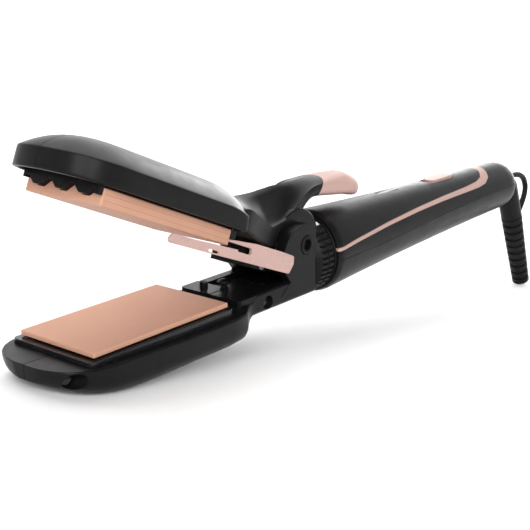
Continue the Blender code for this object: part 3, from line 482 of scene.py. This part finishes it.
def arm_outline(rear, bulge=0.0):
    """The arm seen from above: round the nose, back along the side and across the rear, both sides."""
    side = [(NOSE_X, 0.0)]
    for angle in steps(88.0, 2.0, 26):
        side.append((NOSE_BACK_X - NOSE_REACH * sin(radians(angle)) ** (2 / NOSE_POWER),
                     ARM_HALF * cos(radians(angle)) ** (2 * NOSE_SHARE)))
    straight_end = rear - REAR_CORNER
    side += [(x, ARM_HALF) for x in steps(NOSE_BACK_X, straight_end, 22)]
    for angle in steps(0.0, 90.0, 8)[1:]:
        side.append((straight_end + REAR_CORNER * sin(radians(angle)),
                     ARM_HALF - REAR_CORNER * (1 - cos(radians(angle)))))
    side += [(rear, y) for y in steps(ARM_HALF - REAR_CORNER, 0.0, 8)[1:]]
    side = [(x + bulge * (1 - (y / ARM_HALF) ** 2) * clamp((x - BULGE_X) / BULGE_LENGTH), y)
            for x, y in side]
    return [(x, -y) for x, y in side] + side[-2:0:-1]


def inset(outline, distance):
    """The outline drawn in towards the spine by a distance in millimetres, or all the way with None."""
    moved = []
    for x, y in outline:
        to_x, to_y = min(max(x, SPINE[0]), SPINE[1]) - x, -y
        length = max((to_x ** 2 + to_y ** 2) ** 0.5, 1e-6)
        share = 1.0 if distance is None else min(distance / length, 1.0)
        moved.append((x + to_x * share, y + to_y * share))
    return moved


def draw_in(outline, share):
    """The outline drawn in towards the spine by a share of the way."""
    spine = inset(outline, None)
    return [(x + (a - x) * share, y + (b - y) * share) for (x, y), (a, b) in zip(outline, spine)]


def dome_z(x, y):
    """How high the dome is: crowned across, falling to its edge at the nose, and a little at the rear."""
    nose = clamp((NOSE_FALL_X - x) / (NOSE_FALL_X - NOSE_X))
    rise = CREST_RISE * (1 - nose ** 5)
    across = min(abs(y) / max(nose_half(x), 0.01), 1.0)
    rear = clamp((x - REAR_FALL_X) / REAR_FALL_LENGTH)
    return (EDGE_Z + rise * (1 - across ** 2.2)
            - (REAR_FALL + REAR_SIDE_FALL * across ** 2) * rear ** 3.2)


def upper_dome():
    """The dome's skin: the recess below, round the lip, up the wall, over the crisp edge, to the spine."""
    foot = arm_outline(REAR_X)
    head = arm_outline(REAR_TOP_X, REAR_BULGE)
    wall_foot = LIP_Z + LIP_ROUNDING
    rows = [[(x, y, RECESS_Z) for x, y in draw_in(foot, share)] for share in (1.0, 0.6, 0.3)]
    for distance, z in ((2.5, RECESS_Z), (2.3, RECESS_Z - 0.3), (2.2, LIP_Z + 0.5), (2.0, LIP_Z + 0.1),
                        (1.7, LIP_Z), (0.7, LIP_Z), (0.25, LIP_Z + 0.15), (0.05, LIP_Z + 0.55),
                        (0.0, wall_foot)):
        rows.append([(x, y, z) for x, y in inset(foot, distance)])
    tops = [dome_z(x, y) - CREST_ROUNDING for x, y in head]
    for share in (0.2, 0.4, 0.6, 0.8, 0.95):
        rows.append([(ax + (bx - ax) * share, ay, wall_foot + (top - wall_foot) * share)
                     for (ax, ay), (bx, _), top in zip(foot, head, tops)])
    for distance, drop in ((0.04, 0.22), (0.12, 0.08), (0.3, 0.0), (0.8, 0.0)):
        rows.append([(x, y, dome_z(x, y) - drop) for x, y in inset(head, distance)])
    for share in (0.06, 0.1, 0.15, 0.21, 0.28, 0.36, 0.45, 0.55, 0.65, 0.75, 0.85, 0.93, 1.0):
        rows.append([(x, y, dome_z(x, y)) for x, y in draw_in(head, share)])
    return skin(rows, upper_to_row, capped=False)


# Along the lever: half width, underside, crisp edge of the scoop, ridge, and how far the section is round.
LEVER = (
    (70.0, 22.6, 9.2, 14.2, 20.4, 0.0), (73.0, 22.8, 8.6, 15.3, 20.8, 0.0),
    (76.0, 23.0, 8.2, 16.7, 21.0, 0.0), (79.0, 23.0, 7.6, 16.8, 21.1, 0.0),
    (84.0, 22.0, 6.9, 16.2, 21.2, 0.0), (88.0, 20.9, 6.3, 15.6, 21.6, 0.0),
    (94.0, 18.9, 5.7, 14.8, 23.0, 0.0), (100.0, 16.8, 5.4, 14.0, 25.2, 0.0),
    (104.5, 15.2, 5.2, 13.9, 27.1, 0.0), (108.0, 14.2, 5.2, 15.2, 28.8, 0.0),
    (112.0, 13.2, 6.0, 16.9, 30.7, 0.0), (115.5, 12.4, 8.2, 18.6, 32.4, 0.0),
    (119.0, 11.6, 11.2, 21.2, 33.8, 0.0), (122.0, 11.0, 14.2, 24.2, 35.0, 0.0),
    (125.0, 10.6, 16.4, 27.4, 36.2, 0.0), (128.0, 10.2, 19.2, 30.5, 37.4, 0.0),
    (131.5, 10.0, 22.8, 33.4, 38.7, 0.05), (136.0, 9.9, 27.6, 36.4, 40.5, 0.2),
    (142.0, 9.9, 32.4, 39.4, 42.9, 0.6), (148.0, 9.9, 34.9, 41.6, 45.5, 1.0),
    (153.5, 10.0, 36.8, 43.2, 48.0, 1.0), (159.0, 10.0, 38.8, 44.8, 50.2, 1.0),
    (163.0, 10.0, 40.2, 46.0, 51.5, 1.0), (167.5, 9.9, 41.6, 47.0, 52.0, 1.0),
)
LEVER_START_X = 72.0                        # inside the dome
TIP_ROUND_X, TIP_END_X, TIP_END_Z, TIP_END_HALF_HEIGHT = 167.5, 174.6, 46.6, 0.4
SPLIT_X, SPLIT_GAP = 146.6, 0.25            # where the black lever ends and the metal cap starts
SPLIT_CURVE, SPLIT_SLANT, SPLIT_Z, SPLIT_EASE = 4.5, 0.24, 46.0, 22.0
CROWN, FLAT = 2.05, 3.2                     # how square a round section is above and below its middle
CORNER, CHAMFER = 1.4, 0.5                  # the lower corner's radius and the scoop edge's chamfer


def lever_values(x):
    """The LEVER values at x, drawn together over the tip's rounded end."""
    half, under, edge, ridge, rounded = along(LEVER, min(x, TIP_ROUND_X))
    t = (x - TIP_ROUND_X) / (TIP_END_X - TIP_ROUND_X)
    if t > 0:
        half *= (1 - t ** 2.4) ** (1 / 2.4)
        close = 1 - (1 - t ** 3.4) ** (1 / 2.6)
        under += (TIP_END_Z - TIP_END_HALF_HEIGHT - under) * close
        edge += (TIP_END_Z - edge) * close
        ridge += (TIP_END_Z + TIP_END_HALF_HEIGHT - ridge) * close
    return half, under, edge, ridge, rounded


def lever_half_section(half, under, edge, ridge):
    """One side of a section (y, z): flat below, an upright flank, and a scooped top up to the ridge."""
    corner = min(CORNER, 0.3 * half, 0.4 * (edge - under))
    chamfer = min(CHAMFER, 0.2 * (edge - under))
    flank = edge - chamfer - under - corner
    shoulder = max(half - 1.2 * chamfer, 1e-4)
    points = [(share * half, under) for share in (0.0, 0.4, 0.75)]
    points += [(half - inward * corner, under + rise * corner)
               for inward, rise in ((1.0, 0.0), (0.5, 0.13), (0.13, 0.5), (0.0, 1.0))]
    points += [(half, under + corner + flank * share) for share in (0.35, 0.7, 1.0)]
    points += [(half - 0.25 * chamfer, edge - 0.3 * chamfer), (half - 1.2 * chamfer, edge)]
    for v in (0.03, 0.07, 0.13, 0.2, 0.28, 0.37, 0.46, 0.56, 0.67, 0.78, 0.89, 1.0):
        rise = 0.75 * v * v * (3 - 2 * v) + 0.25 * v
        points.append((shoulder * (1 - v), edge + (ridge - edge) * rise))
    return points


def lever_row(x):
    """The whole section at x, rounded as far as LEVER says, and leaned to the line where the cap starts."""
    half, under, edge, ridge, rounded = lever_values(x)
    middle = under + 0.36 * (ridge - under)
    blended = []
    for y, z in lever_half_section(half, under, edge, ridge):
        high = ridge - middle if z > middle else middle - under
        angle = atan2((z - middle) / high, y / half)
        power = CROWN if angle > 0 else FLAT
        reach = (abs(cos(angle)) ** power + abs(sin(angle)) ** power) ** (-1 / power)
        blended.append((y + (half * reach * cos(angle) - y) * rounded,
                        z + (middle + high * reach * sin(angle) - z) * rounded))
    near_split = max(0.0, 1 - abs(x - SPLIT_X) / SPLIT_EASE)
    bend = near_split * near_split * (3 - 2 * near_split)
    ring = [(-y, z) for y, z in blended] + [(y, z) for y, z in blended[-2:0:-1]]
    return [(x - bend * (SPLIT_CURVE * (y / 10.0) ** 2 + SPLIT_SLANT * (SPLIT_Z - z)), y, z)
            for y, z in ring]


EAR_CUT_X, EAR_CUT_Z, EAR_CUT_RADIUS, EAR_CUT_DEPTH = 128.4, 6.7, 16.4, 30.0
KNUCKLE_HALF, KNUCKLE_RADIUS, KNUCKLE_CHAMFER = 11.8, 15.4, 0.5
EAR_CLEARANCE = 0.05
PARTING_GAP = 0.12                          # from the middle plane to each half of the arm


def circle(x, y, z, radius, count):
    """A ring of points round a line that crosses the tool at x, z."""
    turns = [2 * pi * i / count for i in range(count)]
    return [(x + radius * cos(turn), y, z + radius * sin(turn)) for turn in turns]


def ear_room(side):
    """The round space beside the knuckle that an ear of the lower arm turns in."""
    return skin([circle(EAR_CUT_X, side * y, EAR_CUT_Z, EAR_CUT_RADIUS, 96)
                 for y in (KNUCKLE_HALF + EAR_CLEARANCE, EAR_CUT_DEPTH)], upper_to_row)


def knuckle():
    """The round hub of the lever that turns on the hinge pin between the ears."""
    inner = KNUCKLE_HALF - KNUCKLE_CHAMFER
    return skin([circle(PIN.x, y, PIN.z, KNUCKLE_RADIUS - shrink, 72)
                 for y, shrink in ((-KNUCKLE_HALF, KNUCKLE_CHAMFER), (-inner, 0.0), (inner, 0.0),
                                   (KNUCKLE_HALF, KNUCKLE_CHAMFER))], upper_to_row)


def make_upper_arm():
    """The dome, the lever and its hub in one body, parted on the middle plane, and the metal cap."""
    lever = skin([lever_row(x) for x in steps(LEVER_START_X, SPLIT_X, 96)], upper_to_row)
    lever = combine(lever, [ear_room(1.0), ear_room(-1.0)], "DIFFERENCE")
    whole = combine(upper_dome(), [lever, knuckle()])
    for name, side in (("upper_arm_left", 1.0), ("upper_arm_right", -1.0)):
        add_piece(name, half_of(whole, side, PARTING_GAP * MM), "upper_arm", "satin_black", name + "_shell")
    xs = steps(SPLIT_X + SPLIT_GAP, TIP_ROUND_X, 18)
    xs += [TIP_ROUND_X + (TIP_END_X - TIP_ROUND_X) * sin(radians(angle))
           for angle in steps(0.0, 89.5, 16)[1:]]
    tip = skin([lever_row(x) for x in xs], upper_to_row)
    add_piece("lever_tip_cap", tip, "upper_arm", "rose_gold", "lever_tip")


# ---------------------------------------------------------------- latch bracket and block seams

# Side views (x, z) of the bracket's parts.
FLANGE = ((73.4, 2.6), (74.4, 3.0), (80.0, 3.5), (92.0, 4.6), (112.0, 4.8), (119.4, 4.6), (120.3, 4.2),
          (120.5, 3.5), (121.2, 1.3), (119.8, -2.9), (119.1, -3.35), (112.0, -3.6), (75.6, -4.3),
          (75.6, -2.0), (73.4, -1.9))
FINGER = ((35.2, -4.2), (35.1, -3.4), (35.6, -2.4), (36.4, -1.7), (37.6, -1.4), (48.0, -1.3),
          (62.0, -0.7), (76.3, -0.2), (76.3, -4.4), (60.0, -4.75), (36.6, -5.1), (35.6, -4.8))
JOG = ((75.4, -4.2), (75.4, -1.2), (76.9, -1.2), (76.9, -4.2))
WEB = ((92.0, 3.3), (92.0, 4.4), (111.0, 4.4), (111.0, 3.3))
FINE_RIM, CUT_RIM = 0.05, 0.01


def plate(outline, y0, y1, rim=0.12):
    """A flat plate on the upper arm with finely rounded edges, from its side view and its two sides."""
    middle_x = sum(x for x, _ in outline) / len(outline)
    middle_z = sum(z for _, z in outline) / len(outline)

    def shrunk(amount):
        moved = []
        for x, z in outline:
            dx, dz = middle_x - x, middle_z - z
            length = (dx * dx + dz * dz) ** 0.5
            moved.append((x + dx * amount / length, z + dz * amount / length))
        return moved

    rows = [[(x, y, z) for x, z in shrunk(amount)]
            for y, amount in ((y0, rim), (y0 + rim, 0.0), (y1 - rim, 0.0), (y1, rim))]
    return skin(rows, upper_to_row)


def round_slot(x0, x1, z, half, count=10):
    """The side view of a slot with round ends, along x."""
    turns = steps(0.0, pi, count)
    return ([(x1 + half * sin(turn), z - half * cos(turn)) for turn in turns]
            + [(x0 - half * sin(turn), z + half * cos(turn)) for turn in turns])


def make_bracket():
    """The sheet bracket: a slotted flange, a long finger under the block, a jog between them and a web."""
    slot = plate(round_slot(70.0, 88.9, 0.75, 1.4), -19.6, -17.0, CUT_RIM)
    lip_slot = plate(round_slot(59.0, 64.5, -3.6, 0.55), -24.0, -21.0, CUT_RIM)
    dimple = plate(round_slot(40.6, 45.6, -2.2, 0.4), -24.0, -22.7, CUT_RIM)
    added = [plate(FINGER, -22.95, -21.95), plate(JOG, -22.8, -18.1, FINE_RIM),
             plate(WEB, -18.3, -8.0, FINE_RIM)]
    bracket = combine(combine(plate(FLANGE, -18.9, -17.7), added), [slot, lip_slot, dimple], "DIFFERENCE")
    add_piece("bracket_sheet", bracket, "upper_arm", "rose_metal", "latch_bracket", crease=28.0)


BLOCK_HALF, BLOCK_START, BLOCK_END = 20.0, 0.8, 72.0
SEAM_LEVELS = (2.5, 4.7)
SEAM_DEPTH, SEAM_PROUD, SEAM_ROOT_HALF, SEAM_FACE_HALF = 0.1, 0.03, 0.07, 0.04


def make_block_seams():
    """Two hairline joints along each flank of the upper block, where its pressed sheets meet."""
    for number, level in enumerate(SEAM_LEVELS):
        for side, label in ((-1.0, "right"), (1.0, "left")):
            root, face = side * (BLOCK_HALF - SEAM_DEPTH), side * (BLOCK_HALF + SEAM_PROUD)
            seam = skin([[(x, root, level - SEAM_ROOT_HALF), (x, root, level + SEAM_ROOT_HALF),
                          (x, face, level + SEAM_FACE_HALF), (x, face, level - SEAM_FACE_HALF)]
                         for x in steps(BLOCK_START, BLOCK_END, 12)], upper_to_row)
            add_piece("block_seam_%s_%d" % (label, number + 1), seam, "upper_arm", "seam")


# ---------------------------------------------------------------- lock ring

RING_START, RING_END, RING_RADIUS, RING_BORE = 139.6, 151.8, 18.0, 13.4
HANDLE_AXIS_Z = 0.5
# Along the tool: where, the radius, and how deep the valleys between ribs are there.
RING_PROFILE = (
    (RING_START, RING_BORE, 0), (RING_START, 15.2, 0), (139.8, 15.5, 0), (141.3, 16.6, 0),
    (141.6, 17.0, 0), (142.0, 17.35, 0.3), (142.3, 17.6, 1.1), (144.0, 17.75, 1.25),
    (145.5, 17.8, 1.25), (145.8, 17.5, 0.8), (145.95, 17.0, 0), (146.35, 17.0, 0),
    (146.5, 17.5, 0.8), (146.8, 17.85, 1.25), (148.6, 17.9, 1.25), (149.9, 17.9, 1.2),
    (150.15, 17.5, 0.4), (150.3, 17.1, 0), (150.6, 17.1, 0), (150.75, 17.85, 0),
    (150.95, RING_RADIUS, 0), (151.6, RING_RADIUS, 0), (RING_END, 17.8, 0), (RING_END, RING_BORE, 0),
)
RIBS = 40
RIB_SHAPE = (0.0, 0.0, 0.0, 0.15, 0.9, 1.0, 0.9, 0.15)      # once round a rib: 0 on its top, 1 in the valley
PLAIN_SECTOR, PLAIN_SHARE = 42.0, 0.2       # degrees either side of the top where the valleys are shallow


def make_lock_ring():
    """The ribbed ring: a plain front edge, two bands of ribs with a groove between, and a rear flange."""
    count = RIBS * len(RIB_SHAPE)
    rows = []
    for x, radius, depth in RING_PROFILE:
        row = []
        for i in range(count):
            angle = 360.0 * i / count
            share = PLAIN_SHARE if min(angle, 360.0 - angle) < PLAIN_SECTOR else 1.0
            reach = radius - depth * RIB_SHAPE[i % len(RIB_SHAPE)] * share
            row.append((x, reach * sin(radians(angle)), HANDLE_AXIS_Z + reach * cos(radians(angle))))
        rows.append(row)
    rows.append(rows[0])
    ring = skin(rows, tool_to_row, capped=False)
    add_piece("lock_ring_grip", ring, "lock_ring", "satin_black", "lock_ring", crease=28.0)


materials = make_materials()
paint_cad_nodes()
soften_cad_nodes()
make_upper_arm()
make_bracket()
make_block_seams()
make_lock_ring()
add_camera()
add_floor()
add_lights()
